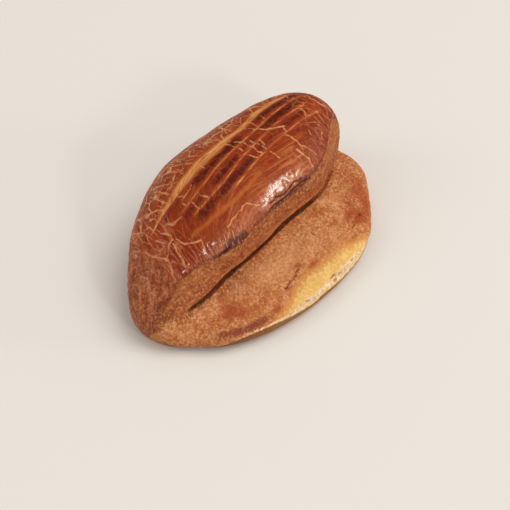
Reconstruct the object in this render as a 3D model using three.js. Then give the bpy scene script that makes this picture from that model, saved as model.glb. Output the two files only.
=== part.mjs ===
// A baked cheese pogaca: an oval of dough folded over itself, so that a tall glazed roll
// overhangs a thinner flap in front. Millimetres; X along the length, -Y the flap side, +Z up.
import * as THREE from 'three';

// The roll: a lens-shaped loaf whose axis bends forward and down towards both ends.
const ROLL = {
  leftX: -50.3,
  rightX: 63,
  widestX: 2,
  leftTaper: 1.78,
  rightTaper: 1.91,
  axisY: 18,
  leftAxisY: 13.9,
  rightAxisY: 5.9,
  axisZ: 19,
  leftAxisZ: 15,
  rightAxisZ: 9,
  halfWidth: 25.4,
  halfHeight: 25,
  leftHeightGain: -0.38,
  leftBellyGain: -0.45,
  rightHeightGain: 1.05,
  sectionPower: 2.05,
};

// The flap: the lower half of the fold, a flat cushion that shows in front of the roll.
const FLAP = {
  leftX: -51.9,
  rightX: 62.7,
  widestX: 13.5,
  axisY: -3.2,
  halfWidth: 34.4,
  planPower: 1.94,
  axisZ: 5.5,
  halfHeight: 8,
  edgePower: 2.4,
  undercut: 0.62,
};

// The left tip: a rounded knob where the fold is pressed together and sealed. Like the flap, it
// curves in less below its widest place than above it: by its undercut.
const TIP = { at: [-38.5, 8.9, 9.5], halfSize: [17, 14.8, 11], blend: 7, undercut: 0.72 };

// Soft swellings (positive) and hollows (negative) of the risen dough: centre, reach, height.
const SWELLINGS = [
  { at: [30, -6, 20], reach: 13, height: 3.6 },
  { at: [12, 30, 30], reach: 18, height: -1.7 },
  { at: [46, 8, 32], reach: 16, height: 3.2 },
  { at: [45, -20, 6], reach: 15, height: -0.9 },
];

// Where the two halves meet: sharp along the front, sealed and rounded at the left tip.
const CREASE_BLEND = 0.3;
const SEAL_START_X = -42;
const SEAL_LENGTH = 18;
const SEAL_BLEND = 6;
const BASE_EDGE_BLEND = 1.5;

// Four scored lines along the glaze, placed by their share of the way over the roll from the
// back edge (0) to the crease (1); the first one is the widest.
const SCORES = [
  { middle: 0.525, slope: 0, bend: -0.000012, from: -36, to: 50, width: 2, depth: 0.9 },
  { middle: 0.592, slope: -0.001, bend: 0, from: -24, to: 48, width: 1.05, depth: 0.85 },
  { middle: 0.646, slope: -0.0013, bend: 0, from: -24, to: 52, width: 1.05, depth: 0.85 },
  { middle: 0.697, slope: -0.0009, bend: -0.000008, from: -26, to: 55, width: 1.15, depth: 0.9 },
];
const SCORE_FADE = 9;
const SCORE_STEADY_LEFT = -24;
const SCORE_STEADY_RIGHT = 52;

// The slit in the crease and the small crack across the flap.
const SLIT = { from: -49, to: 50, fade: 8, width: 1.1, depth: 1.9 };
const CRACK = {
  middle: 0.48,
  swing: 0.05,
  centreX: -6,
  run: 10,
  from: -15.5,
  to: 1.5,
  fade: 3,
  width: 0.8,
  depth: 0.5,
};

// The torn front rim of the flap, where the crumb shows below the crust.
const TEAR = {
  edge: 0.76,
  end: 0.93,
  step: 0.05,
  from: -17,
  to: 30,
  fade: 6,
  depth: 0.8,
  roughness: 0.35,
};

// Gathers at the sealed left tip, puckers along the lower limit of the glaze, broad unevenness.
const GATHER = { x: -47, y: -6, reach: 7, pitch: 5.6, height: 0.35 };
const PUCKER = { middle: 0.8, reach: 5, pitch: 5.2, height: 0.22, from: -44, to: 44, fade: 10 };
const UNEVEN = { waves: 7, shortest: 13, longest: 34, height: 0.07, seed: 11 };
const RELIEF_FLOOR = 0.6;
const RELIEF_FULL = 4;

// Mesh: rings along the length, each split between the back edge, the scored lines, the crease,
// the crack line, the tear line and the front edge.
const RINGS = 93;
const END_TILT = 1.485;
const SPINE = 48;
const SPINE_Y = -1;
const SPINE_END_RISE = 4;
const SPINE_Z = 9;
const TRACE_STEPS = 480;
const HALVINGS = 30;
const REACH = 75;
const BACK_SPANS = 12;
const SCORE_SPANS = [5, 4, 4];
const NOSE_SPANS = 13;
const FLAP_SPANS = [6, 5, 6];
const BASE_SPANS = 9;

const clamp = (value, low, high) => Math.min(high, Math.max(low, value));
const mix = (a, b, t) => a + (b - a) * t;
const bell = (distance, width) => Math.exp(-((distance / width) ** 2));

function smooth(value, from, to) {
  const t = clamp((value - from) / (to - from), 0, 1);
  return t * t * (3 - 2 * t);
}

function smoothMin(a, b, blend) {
  const h = clamp(0.5 + (0.5 * (b - a)) / blend, 0, 1);
  return mix(b, a, h) - blend * h * (1 - h);
}

function randomFrom(seed) {
  let state = seed >>> 0;
  return () => {
    state = (Math.imul(state, 1664525) + 1013904223) >>> 0;
    return state / 4294967296;
  };
}

// Distance-like value of the roll at a point: negative inside.
function rollValue(x, y, z) {
  const left = x < ROLL.widestX;
  const s = (x - ROLL.widestX) / ((left ? ROLL.leftX : ROLL.rightX) - ROLL.widestX);
  const bend = Math.min(s, 1.2) ** 2;
  const taper = left ? ROLL.leftTaper : ROLL.rightTaper;
  const axisY = mix(ROLL.axisY, left ? ROLL.leftAxisY : ROLL.rightAxisY, bend);
  const axisZ = mix(ROLL.axisZ, left ? ROLL.leftAxisZ : ROLL.rightAxisZ, bend);
  const leftGain = z < axisZ ? ROLL.leftBellyGain : ROLL.leftHeightGain;
  const halfHeight = ROLL.halfHeight * (1 + (left ? leftGain : ROLL.rightHeightGain) * bend);
  const across = Math.abs((y - axisY) / ROLL.halfWidth) ** ROLL.sectionPower;
  const upward = Math.abs((z - axisZ) / halfHeight) ** ROLL.sectionPower;
  const section = (across + upward) ** (1 / ROLL.sectionPower);
  return ((section ** taper + s ** taper) ** (1 / taper) - 1) * 22;
}

// Distance-like value of the flap at a point: negative inside.
function flapValue(x, y, z) {
  const end = x < FLAP.widestX ? FLAP.leftX : FLAP.rightX;
  const along = ((x - FLAP.widestX) / (end - FLAP.widestX)) ** FLAP.planPower;
  const across = Math.abs((y - FLAP.axisY) / FLAP.halfWidth) ** FLAP.planPower;
  const plan = (along + across) ** (1 / FLAP.planPower);
  const rise = (z - FLAP.axisZ) * (z < FLAP.axisZ ? FLAP.undercut : 1);
  const upward = Math.abs(rise / FLAP.halfHeight) ** FLAP.edgePower;
  return ((plan ** FLAP.edgePower + upward) ** (1 / FLAP.edgePower) - 1) * 12;
}

// The whole bun: both halves joined, swollen and cut flat underneath.
function bunValue(x, y, z) {
  const sealing = clamp((SEAL_START_X - x) / SEAL_LENGTH, 0, 1) ** 1.3;
  const halves = smoothMin(rollValue(x, y, z), flapValue(x, y, z), CREASE_BLEND + SEAL_BLEND * sealing);
  const [tipX, tipY, tipRise] = [x, y, z].map((value, k) => (value - TIP.at[k]) / TIP.halfSize[k]);
  const tipZ = tipRise * (tipRise < 0 ? TIP.undercut : 1);
  const tipValue = (Math.hypot(tipX, tipY, tipZ) - 1) * TIP.halfSize[2];
  let value = smoothMin(halves, tipValue, TIP.blend);
  for (const { at, reach, height } of SWELLINGS) {
    value -= height * bell(Math.hypot(x - at[0], y - at[1], z - at[2]), reach);
  }
  return -smoothMin(-value, z, BASE_EDGE_BLEND);
}

// The point where a ray from the spine leaves the bun; tilt runs along the length.
function surfacePoint(tilt, turn) {
  const lean = Math.sin(tilt);
  const start = [SPINE * lean, SPINE_Y + SPINE_END_RISE * lean * lean, SPINE_Z];
  const ray = [lean, Math.cos(tilt) * Math.cos(turn), Math.cos(tilt) * Math.sin(turn)];
  let near = 0;
  let far = REACH;
  for (let i = 0; i < HALVINGS; i += 1) {
    const middle = (near + far) / 2;
    const inside = bunValue(...start.map((value, k) => value + ray[k] * middle)) < 0;
    if (inside) near = middle;
    else far = middle;
  }
  return start.map((value, k) => value + ray[k] * near);
}

// One closed trace around the bun, from below, up the back, over the top and down the front.
function traceRing(tilt) {
  const points = [];
  for (let i = 0; i <= TRACE_STEPS; i += 1) {
    points.push(surfacePoint(tilt, -Math.PI / 2 + (2 * Math.PI * i) / TRACE_STEPS));
  }
  const heights = points.map((point) => point[2]);
  const low = Math.min(...heights);
  const high = Math.max(...heights);
  const top = heights.indexOf(high);
  const level = mix(low, high, 0.03 + 0.27 * Math.abs(Math.sin(tilt)) ** 16);
  let back = top;
  while (heights[back] > level) back -= 1;
  back += (level - heights[back]) / (heights[back + 1] - heights[back]);
  let front = top;
  while (heights[front] > level) front += 1;
  front -= (level - heights[front]) / (heights[front - 1] - heights[front]);
  const gaps = points.map(([x, y, z]) => rollValue(x, y, z) - flapValue(x, y, z));
  let crease = null;
  for (let i = top; i < Math.floor(front); i += 1) {
    if (gaps[i] < 0 && gaps[i + 1] >= 0) crease = i + gaps[i] / (gaps[i] - gaps[i + 1]);
  }
  return { points, back, crease, front };
}

// Rings near the tips that miss the crease take its place from the nearest ring that has it.
function fillCreases(rings) {
  const known = rings.filter((ring) => ring.crease !== null);
  for (const ring of rings) {
    const nearest = rings.indexOf(ring) < rings.length / 2 ? known[0] : known[known.length - 1];
    if (ring.crease === null) ring.crease = nearest.crease;
    ring.crease = clamp(ring.crease, ring.back + 4, ring.front - 4);
  }
}

// A stretch of a ring between two trace positions, with its running length.
function stretch(points, from, to) {
  const at = (t) => {
    const i = Math.min(Math.floor(t), points.length - 2);
    return points[i].map((value, k) => mix(value, points[i + 1][k], t - i));
  };
  const path = [at(from), ...points.slice(Math.floor(from) + 1, Math.ceil(to)), at(to)];
  const lengths = [0];
  for (let i = 1; i < path.length; i += 1) {
    const step = Math.hypot(...path[i].map((value, k) => value - path[i - 1][k]));
    lengths.push(lengths[i - 1] + step);
  }
  return { path, lengths, total: lengths[lengths.length - 1] };
}

function alongStretch({ path, lengths, total }, share) {
  const goal = share * total;
  let i = 1;
  while (i < lengths.length - 1 && lengths[i] < goal) i += 1;
  const t = (goal - lengths[i - 1]) / Math.max(lengths[i] - lengths[i - 1], 1e-9);
  return path[i - 1].map((value, k) => mix(value, path[i][k], t));
}

// The share at which a scored line lies; beyond both steady limits it stays as it is there.
function scoreShare(score, place) {
  const x = clamp(place, SCORE_STEADY_LEFT, SCORE_STEADY_RIGHT);
  return score.middle + score.slope * x + score.bend * x * x;
}

const crackShare = (x) => CRACK.middle - CRACK.swing * Math.tanh((x - CRACK.centreX) / CRACK.run);

// Even shares between given stops; lean above 1 crowds the last stretch towards its end.
function spread(stops, spans, lean) {
  const shares = [];
  for (let k = 0; k < spans.length; k += 1) {
    for (let i = 0; i < spans[k]; i += 1) {
      shares.push(mix(stops[k], stops[k + 1], 1 - (1 - i / spans[k]) ** lean[k]));
    }
  }
  return shares;
}

const ridgeX = (ring) => alongStretch(stretch(ring.points, ring.back, ring.crease), 0.55)[0];

// The places of one ring's vertices: over the roll, down the flap and back under the base.
function placeRing(ring, x) {
  const turnedBase = [...ring.points.slice(Math.floor(ring.front) + 1, -1), ...ring.points];
  const baseShift = ring.points.length - 1 - (Math.floor(ring.front) + 1);
  const roll = stretch(ring.points, ring.back, ring.crease);
  const flap = stretch(ring.points, ring.crease, ring.front);
  const base = stretch([alongStretch(flap, 1), ...turnedBase], 0, ring.back + baseShift + 1);
  const rollStops = [0, ...SCORES.map((score) => scoreShare(score, x)), 1];
  const rollShares = spread(rollStops, [BACK_SPANS, ...SCORE_SPANS, NOSE_SPANS], [1.15, 1, 1, 1, 1.2]);
  const flapShares = spread([0, crackShare(x), TEAR.edge, 1], FLAP_SPANS, [0.85, 1, 1]);
  const baseShares = spread([0, 1], [BASE_SPANS], [1]);
  const place = (part, line, shares) =>
    shares.map((share) => ({ part, share, length: line.total, at: alongStretch(line, share) }));
  const flapAndBase = [...place('flap', flap, flapShares), ...place('base', base, baseShares)];
  return [...place('roll', roll, rollShares), ...flapAndBase];
}

// Broad seeded waves that keep the crust from being perfectly even.
const wave = (() => {
  const random = randomFrom(UNEVEN.seed);
  const waves = Array.from({ length: UNEVEN.waves }, () => {
    const length = mix(UNEVEN.shortest, UNEVEN.longest, random());
    const heading = random() * Math.PI;
    return { length, heading, lift: random() * 2 - 1, phase: random() * 2 * Math.PI };
  });
  return ([x, y, z]) => {
    let total = 0;
    for (const { length, heading, lift, phase } of waves) {
      const run = x * Math.cos(heading) + y * Math.sin(heading) + z * lift;
      total += Math.sin((2 * Math.PI * run) / length + phase);
    }
    return total * UNEVEN.height;
  };
})();

// 1 between two limits, fading to 0 towards both.
const between = (value, from, to, fade) => smooth(value, from, from + fade) * smooth(-value, -to, fade - to);

function scoring({ share, length, at }) {
  let depth = 0;
  for (const score of SCORES) {
    const across = (share - scoreShare(score, at[0])) * length;
    depth += score.depth * between(at[0], score.from, score.to, SCORE_FADE) * bell(across, score.width);
  }
  return depth;
}

function puckering({ share, length, at }) {
  const fold = Math.sin((2 * Math.PI * at[0]) / PUCKER.pitch);
  const band = bell((share - PUCKER.middle) * length, PUCKER.reach);
  return PUCKER.height * fold * band * between(at[0], PUCKER.from, PUCKER.to, PUCKER.fade);
}

function cracking({ share, length, at }) {
  const across = (share - crackShare(at[0])) * length;
  return CRACK.depth * between(at[0], CRACK.from, CRACK.to, CRACK.fade) * bell(across, CRACK.width);
}

function tearing({ share, length, at }) {
  const rough = TEAR.roughness * Math.sin(at[0] * 1.15) * Math.cos(share * length * 0.9 + at[0] * 0.5);
  const band = between(share, TEAR.edge, TEAR.end, TEAR.step);
  return (TEAR.depth + rough) * band * between(at[0], TEAR.from, TEAR.to, TEAR.fade);
}

function gathering([x, y]) {
  const fold = Math.sin((2 * Math.PI * (y - 0.4 * x)) / GATHER.pitch);
  return GATHER.height * fold * bell(Math.hypot(x - GATHER.x, y - GATHER.y), GATHER.reach);
}

// How far a place on the crust stands out of (or into) the smooth bun.
function relief(place) {
  const { part, share, length, at } = place;
  if (part === 'base') return 0;
  const fromCrease = part === 'roll' ? length * (1 - share) : length * share;
  const slit = SLIT.depth * between(at[0], SLIT.from, SLIT.to, SLIT.fade) * bell(fromCrease, SLIT.width);
  let height = wave(at) + gathering(at) - slit;
  if (part === 'roll') height += puckering(place) - scoring(place);
  else height -= cracking(place) + tearing(place);
  return height * smooth(at[2], RELIEF_FLOOR, RELIEF_FULL);
}

function buildBun() {
  const rings = Array.from({ length: RINGS }, (_, i) => traceRing(mix(-END_TILT, END_TILT, i / (RINGS - 1))));
  fillCreases(rings);
  const places = rings.map((ring) => placeRing(ring, ridgeX(ring)));
  const columns = places[0].length;
  const tips = [surfacePoint(-Math.PI / 2, 0), surfacePoint(Math.PI / 2, 0)];
  const at = (i, j) => {
    if (i < 0) return tips[0];
    if (i >= RINGS) return tips[1];
    return places[i][(j + columns) % columns].at;
  };
  const points = [];
  for (let i = 0; i < RINGS; i += 1) {
    for (let j = 0; j < columns; j += 1) {
      const along = new THREE.Vector3(...at(i + 1, j)).sub(new THREE.Vector3(...at(i - 1, j)));
      const around = new THREE.Vector3(...at(i, j + 1)).sub(new THREE.Vector3(...at(i, j - 1)));
      const outward = around.cross(along).normalize();
      const point = new THREE.Vector3(...at(i, j)).addScaledVector(outward, relief(places[i][j]));
      if (point.z < 0.004) point.z = 0;
      points.push(point);
    }
  }
  points.push(new THREE.Vector3(...tips[0]), new THREE.Vector3(...tips[1]));
  const faces = [];
  const id = (i, j) => i * columns + (j % columns);
  for (let j = 0; j < columns; j += 1) {
    faces.push([points.length - 2, id(0, j + 1), id(0, j)]);
    faces.push([points.length - 1, id(RINGS - 1, j), id(RINGS - 1, j + 1)]);
    for (let i = 0; i < RINGS - 1; i += 1) {
      const [a, b, c, d] = [id(i, j), id(i + 1, j), id(i + 1, j + 1), id(i, j + 1)];
      const shorter = points[a].distanceTo(points[c]) <= points[b].distanceTo(points[d]);
      if (shorter) faces.push([a, c, b], [a, d, c]);
      else faces.push([a, d, b], [b, d, c]);
    }
  }
  return { points, faces };
}

const { points, faces } = buildBun();
const geometry = new THREE.BufferGeometry().setFromPoints(points);
geometry.setIndex(faces.flat());
geometry.computeBoundingBox();
const { min, max } = geometry.boundingBox;
geometry.translate(-(min.x + max.x) / 2, -(min.y + max.y) / 2, -min.z);
geometry.computeVertexNormals();

const crust = new THREE.MeshStandardMaterial({ name: 'baked_crust', color: 0xa9622f, roughness: 0.5 });
const bun = new THREE.Mesh(geometry, crust);
bun.name = 'bun';

const pogaca = new THREE.Group();
pogaca.name = 'cheese_pogaca';
pogaca.add(bun);

export default pogaca;
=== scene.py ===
# A baked cheese pogaca: an oval of dough folded over itself, so that a tall glazed roll
# overhangs a thinner flap in front. X runs along the length, -Y is the flap side, +Z is up.
# Shapes are worked out in millimetres, and MM turns them into metres.
import math

import bpy
import numpy as np
from mathutils import Matrix, Vector, noise


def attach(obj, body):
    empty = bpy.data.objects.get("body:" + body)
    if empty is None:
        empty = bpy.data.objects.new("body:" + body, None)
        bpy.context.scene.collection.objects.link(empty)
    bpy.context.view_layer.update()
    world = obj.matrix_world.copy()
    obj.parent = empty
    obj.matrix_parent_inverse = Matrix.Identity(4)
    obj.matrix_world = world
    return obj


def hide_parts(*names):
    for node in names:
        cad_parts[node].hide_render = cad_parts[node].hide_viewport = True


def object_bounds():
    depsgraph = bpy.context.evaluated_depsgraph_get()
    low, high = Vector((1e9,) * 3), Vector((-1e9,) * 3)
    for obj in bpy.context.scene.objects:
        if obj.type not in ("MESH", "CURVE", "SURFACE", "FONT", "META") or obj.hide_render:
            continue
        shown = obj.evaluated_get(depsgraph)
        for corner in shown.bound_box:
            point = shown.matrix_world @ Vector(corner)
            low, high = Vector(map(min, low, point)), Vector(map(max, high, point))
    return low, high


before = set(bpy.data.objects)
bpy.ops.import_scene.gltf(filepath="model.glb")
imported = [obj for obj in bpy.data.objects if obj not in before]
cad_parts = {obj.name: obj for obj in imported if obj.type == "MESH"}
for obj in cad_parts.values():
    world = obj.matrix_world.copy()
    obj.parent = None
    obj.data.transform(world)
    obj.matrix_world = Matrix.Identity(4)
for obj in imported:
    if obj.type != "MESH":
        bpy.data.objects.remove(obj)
CAD_LOW, CAD_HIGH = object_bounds()
MM = 0.001

# The roll: a lens-shaped loaf whose axis bends forward and down towards both ends.
ROLL = {
    "left_x": -50.3,
    "right_x": 63,
    "widest_x": 2,
    "left_taper": 1.78,
    "right_taper": 1.91,
    "axis_y": 18,
    "left_axis_y": 13.9,
    "right_axis_y": 5.9,
    "axis_z": 19,
    "left_axis_z": 15,
    "right_axis_z": 9,
    "half_width": 25.4,
    "half_height": 25,
    "left_height_gain": -0.38,
    "left_belly_gain": -0.45,
    "right_height_gain": 1.05,
    "section_power": 2.05,
    "bend_limit": 1.2,
    "steepness": 22,
}

# The flap: the lower half of the fold, a flat cushion that shows in front of the roll.
FLAP = {
    "left_x": -51.9,
    "right_x": 62.7,
    "widest_x": 13.5,
    "axis_y": -3.2,
    "half_width": 34.4,
    "plan_power": 1.94,
    "axis_z": 5.5,
    "half_height": 8,
    "edge_power": 2.4,
    "undercut": 0.62,
    "steepness": 12,
}

# The left tip: a rounded knob where the fold is pressed together and sealed.
TIP_AT = (-38.5, 8.9, 9.5)
TIP_HALF_SIZE = (17, 14.8, 11)
TIP_BLEND = 7
TIP_UNDERCUT = 0.72

# Soft swellings (positive) and hollows (negative) of the risen dough: centre, reach, height.
SWELLINGS = [
    ((30, -6, 20), 13, 3.6),
    ((12, 30, 30), 18, -1.7),
    ((46, 8, 32), 16, 3.2),
    ((45, -20, 6), 15, -0.9),
]

CREASE_BLEND = 0.3
SEAL_START_X = -42
SEAL_LENGTH = 18
SEAL_BLEND = 6
SEAL_POWER = 1.3
BASE_EDGE_BLEND = 1.5

# Rings follow one another along the length. Each is traced by rays from a bent spine, then split
# into stretches between landmarks: the back edge, four scored lines, the crease, the flap's crack,
# its torn rim and the front edge.
RINGS = 330
END_TILT = 1.53
TILT_EVENNESS = 0.45
SPINE = 48
SPINE_Y = -1
SPINE_END_RISE = 4
SPINE_Z = 9
TRACE_STEPS = 720
HALVINGS = 22
REACH = 75
BACK_SPANS = 66
SCORE_SPANS = [12, 10, 10]
NOSE_SPANS = 62
FLAP_SPANS = [34, 22, 30]
BASE_SPANS = 34
# Leans above 1 crowd a stretch's vertices towards its end.
ROLL_LEANS = [1.15, 1, 1, 1, 1.12]
FLAP_LEANS = [0.9, 1, 1]
# A ring's x, for its landmarks, is read at this share of the way over the roll.
X_READ_AT = 0.55
# The back and front edges lie at this share of a ring's height, and higher at the very tips.
EDGE_RISE = 0.03
EDGE_TIP_RISE = 0.27
EDGE_TIP_POWER = 16
# The crease keeps this many trace steps clear of both edges.
CREASE_CLEARANCE = 6
# The flap's crack and its rim stay short of these shares, where the flap is short.
CRACK_LIMIT = 0.8
RIM_LIMIT = 0.95

# Scored lines across the glaze. Each path gives x and the share of the way over the roll, from the
# back edge (0) to the crease (1). A run says from where to where and how it fades. The first line
# is the wide one.
SCORE_FADE = 7
SCORES = [
    {
        "path": [
            (-36, 0.462), (-32, 0.488), (-28, 0.507), (-20, 0.515), (-10, 0.523), (0, 0.528), (8, 0.528),
            (14, 0.522), (20, 0.524), (25, 0.515), (31, 0.503), (40, 0.497), (50, 0.5),
        ],
        "run": (-38, 50, SCORE_FADE),
        "width": 1.4,
        "depth": 0.42,
    },
    {
        "path": [
            (-28, 0.55), (-25, 0.585), (-20, 0.592), (-8, 0.596), (0, 0.592), (8, 0.585), (16, 0.58),
            (24, 0.571), (32, 0.558), (40, 0.552), (51, 0.543),
        ],
        "run": (-29, 51, SCORE_FADE),
        "width": 0.6,
        "depth": 0.3,
    },
    {
        "path": [
            (-26, 0.625), (-22, 0.64), (-12, 0.65), (-5, 0.652), (2, 0.643), (8, 0.632), (16, 0.623),
            (25, 0.612), (31, 0.602), (40, 0.598), (52, 0.597),
        ],
        "run": (-27, 50, SCORE_FADE),
        "width": 0.6,
        "depth": 0.3,
    },
    {
        "path": [
            (-26, 0.68), (-15, 0.692), (-6, 0.7), (0, 0.693), (8, 0.683), (16, 0.671), (24, 0.661),
            (32, 0.655), (42, 0.65), (53, 0.648),
        ],
        "run": (-8, 54, SCORE_FADE),
        "width": 0.65,
        "depth": 0.35,
    },
]
WIDE_SCORE_WIDTH = [
    (-38, 0.3), (-28, 0.5), (-20, 1.1), (-12, 1.6), (6, 1.7), (12, 1.4), (17, 0.9), (23, 1.0), (31, 1.2),
    (50, 0.7),
]

# The slit in the crease, the small crack across the flap and where its torn rim may start.
SLIT = {"run": (-49, 50, 8), "width": 0.6, "depth": 1.5}
FLAP_CRACK = [(-15, 0.513), (-13, 0.52), (-10, 0.497), (-6, 0.475), (-3.5, 0.447), (0, 0.43)]
FLAP_CRACK_RUN = (-15.5, -1, 2)
FLAP_CRACK_DEPTH = 0.4
FLAP_CRACK_WIDTH = 0.4
RIM_START = 0.7
# Shares down the flap are counted to a place this far under its front edge, in millimetres.
LIP_TUCK = 2.8

# Broad seeded waves that keep the crust from being perfectly even.
UNEVEN = {"waves": 7, "shortest": 13, "longest": 34, "height": 0.07, "seed": 11}
RELIEF_FLOOR = 0.6
RELIEF_FULL = 4

# Where the brushed glaze ends towards the flap: x in millimetres, share of the way over the roll.
GLAZE_FRONT = [
    (-60, 0.82), (-52, 0.81), (-48, 0.785), (-45, 0.765), (-40, 0.76), (-36, 0.775), (-30, 0.8),
    (-25, 0.842), (-20, 0.862), (-14, 0.879), (-4, 0.867), (4, 0.872), (12, 0.885), (26, 0.877),
    (31, 0.862), (36, 0.847), (40, 0.827), (45, 0.775), (48, 0.735), (52, 0.69), (63, 0.65),
]
GLAZE_BACK = 0.17

# Pale cracks that cross the glaze, bold and hair-thin: x and share over the roll at their bends.
BOLD_CRACKS = [
    [(-28, 0.42), (-27, 0.445), (-26, 0.47), (-25, 0.508)],
    [(-21, 0.385), (-21, 0.43), (-22, 0.46), (-22.5, 0.495)],
    [(-16.5, 0.4), (-16.3, 0.43), (-15.5, 0.465), (-16, 0.495)],
    [(-38.5, 0.605), (-36.5, 0.597), (-34, 0.59), (-32, 0.6)],
    [(-33.5, 0.61), (-33.7, 0.63), (-34.7, 0.655), (-34.5, 0.68)],
    [(22, 0.39), (19.5, 0.425), (18, 0.455), (16.5, 0.47), (14.5, 0.482), (13, 0.5), (12.3, 0.525)],
    [(18, 0.455), (21, 0.462), (23, 0.455), (25, 0.43), (26, 0.405)],
    [(21.5, 0.53), (22.5, 0.56), (24, 0.585), (25.5, 0.603), (27.5, 0.612), (30, 0.622), (31.5, 0.635)],
    [(9, 0.44), (9.8, 0.47), (11.2, 0.488), (11, 0.515)],
    [(29, 0.66), (30.2, 0.69), (30.6, 0.715), (31.2, 0.735), (32.5, 0.755)],
    [(28, 0.735), (29.5, 0.765), (30.5, 0.8), (30.5, 0.84)],
    [
        (-39.6, 0.47), (-39.6, 0.51), (-39.3, 0.55), (-38.3, 0.585), (-38.2, 0.62), (-39.5, 0.65),
        (-41.8, 0.725),
    ],
]
HAIR_CRACKS = [
    [(-29, 0.41), (-28.5, 0.43), (-27.3, 0.445)],
    [(-20.6, 0.59), (-20.4, 0.572), (-18.6, 0.558), (-14, 0.562), (-12.3, 0.553)],
    [(-18.6, 0.525), (-18.4, 0.54), (-18, 0.558)],
    [(-18.3, 0.6), (-18.6, 0.62), (-18.5, 0.64)],
    [(-14.5, 0.6), (-14.2, 0.62), (-13.4, 0.645)],
    [(-31.7, 0.505), (-32, 0.53), (-31.5, 0.56), (-31.3, 0.585), (-32.5, 0.595)],
    [
        (-31, 0.61), (-31.2, 0.64), (-30.9, 0.665), (-29.5, 0.69), (-27.8, 0.708), (-26.3, 0.725),
        (-27.6, 0.77),
    ],
    [(-35, 0.51), (-34.6, 0.54), (-34, 0.575)],
    [(-37.5, 0.52), (-37, 0.55), (-35.3, 0.57)],
    [(-29.6, 0.54), (-28.4, 0.565), (-27.4, 0.585), (-24, 0.597)],
    [(-34.5, 0.68), (-35.2, 0.7), (-36, 0.725)],
    [(-16, 0.779), (-12, 0.772), (-5, 0.768)],
    [(-4.3, 0.765), (-2.3, 0.79), (0, 0.81)],
    [(-4, 0.525), (-4.6, 0.56)],
    [(-1, 0.44), (-1.8, 0.47)],
    [(-4.2, 0.455), (-5.2, 0.48)],
    [(-11, 0.405), (-10, 0.44), (-9.5, 0.46)],
    [(10, 0.53), (10.6, 0.56), (11, 0.59), (11, 0.612)],
    [(12.2, 0.54), (12.6, 0.56), (14, 0.577)],
    [(15.2, 0.583), (14.6, 0.61), (15.6, 0.63), (15, 0.648), (16, 0.665)],
    [(17, 0.6), (17.4, 0.62), (18.1, 0.64), (18.6, 0.66)],
    [(19.9, 0.62), (19.5, 0.65)],
    [(11, 0.635), (12, 0.655), (13.2, 0.67)],
    [(24.4, 0.565), (25, 0.53), (26, 0.5)],
    [(29.6, 0.53), (29.4, 0.555)],
    [(30.7, 0.635), (30.4, 0.655)],
    [(19, 0.68), (19.9, 0.7), (20.2, 0.722)],
    [(42, 0.6), (42.4, 0.625), (41.6, 0.648)],
    [(51.4, 0.55), (50.6, 0.575), (52, 0.6), (52.8, 0.63)],
    [(32.5, 0.755), (33.4, 0.78), (34.5, 0.805)],
    [(38, 0.7), (37.7, 0.725)],
    [(17.9, 0.462), (17.7, 0.5)],
]
# How far a crack strays from its straight runs, and over what length, in millimetres.
CRACK_STRAY = 0.55
CRACK_STRAY_SIZE = 1.8

# The soft ochre line under the last score, and dark baked streaks between the scores with their
# half width in millimetres and strength.
SOFT_LINE = [(-27, 0.685), (-22, 0.7), (-14, 0.715), (-6, 0.73), (2, 0.728), (9, 0.718)]
STREAK_FADE = 8
DARK_STREAKS = [
    ([(-31, 0.535), (-18, 0.548)], 1.5, 0.5),
    ([(-13, 0.563), (-6, 0.57), (8, 0.567), (16, 0.56)], 1.5, 1.0),
    ([(25, 0.545), (31, 0.535), (49, 0.525)], 1.5, 0.9),
    ([(-26, 0.612), (-12, 0.622)], 1.4, 0.6),
    ([(-9, 0.63), (0, 0.625), (8, 0.615)], 1.3, 1.0),
    ([(10, 0.61), (22, 0.597)], 1.2, 0.6),
    ([(25, 0.588), (46, 0.572)], 1.6, 0.95),
    ([(-21, 0.665), (-12, 0.67)], 2.0, 1.0),
    ([(-12, 0.675), (4, 0.668), (12, 0.655)], 1.9, 1.0),
    ([(12, 0.65), (28, 0.635)], 1.3, 0.6),
    ([(30, 0.628), (44, 0.622)], 1.3, 0.7),
    ([(-43.5, 0.67), (-43, 0.75)], 1.3, 1.2),
    ([(-52, 0.73), (-48, 0.77)], 1.8, 1.3),
    ([(-51, 0.8), (-47, 0.785)], 1.2, 1.2),
    ([(-42.5, 0.41), (-42, 0.46)], 1.4, 1.0),
]
# Purple-brown places where the glaze has run together over its lower edge.
RUN_TOGETHER = [
    ([(-28, 0.817), (-25, 0.84), (-19, 0.852)], 1.2, 1.0),
    ([(-19, 0.842), (-15, 0.854), (-12, 0.862)], 2.4, 1.2),
    ([(-33, 0.79), (-28, 0.814)], 0.8, 0.6),
    ([(-12, 0.87), (-5, 0.873)], 0.9, 0.9),
    ([(3, 0.864), (12, 0.874), (27, 0.869)], 0.9, 0.9),
    ([(22, 0.844), (27, 0.86)], 1.3, 0.9),
    ([(33, 0.852), (40, 0.832), (46, 0.785)], 0.9, 0.6),
]

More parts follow.
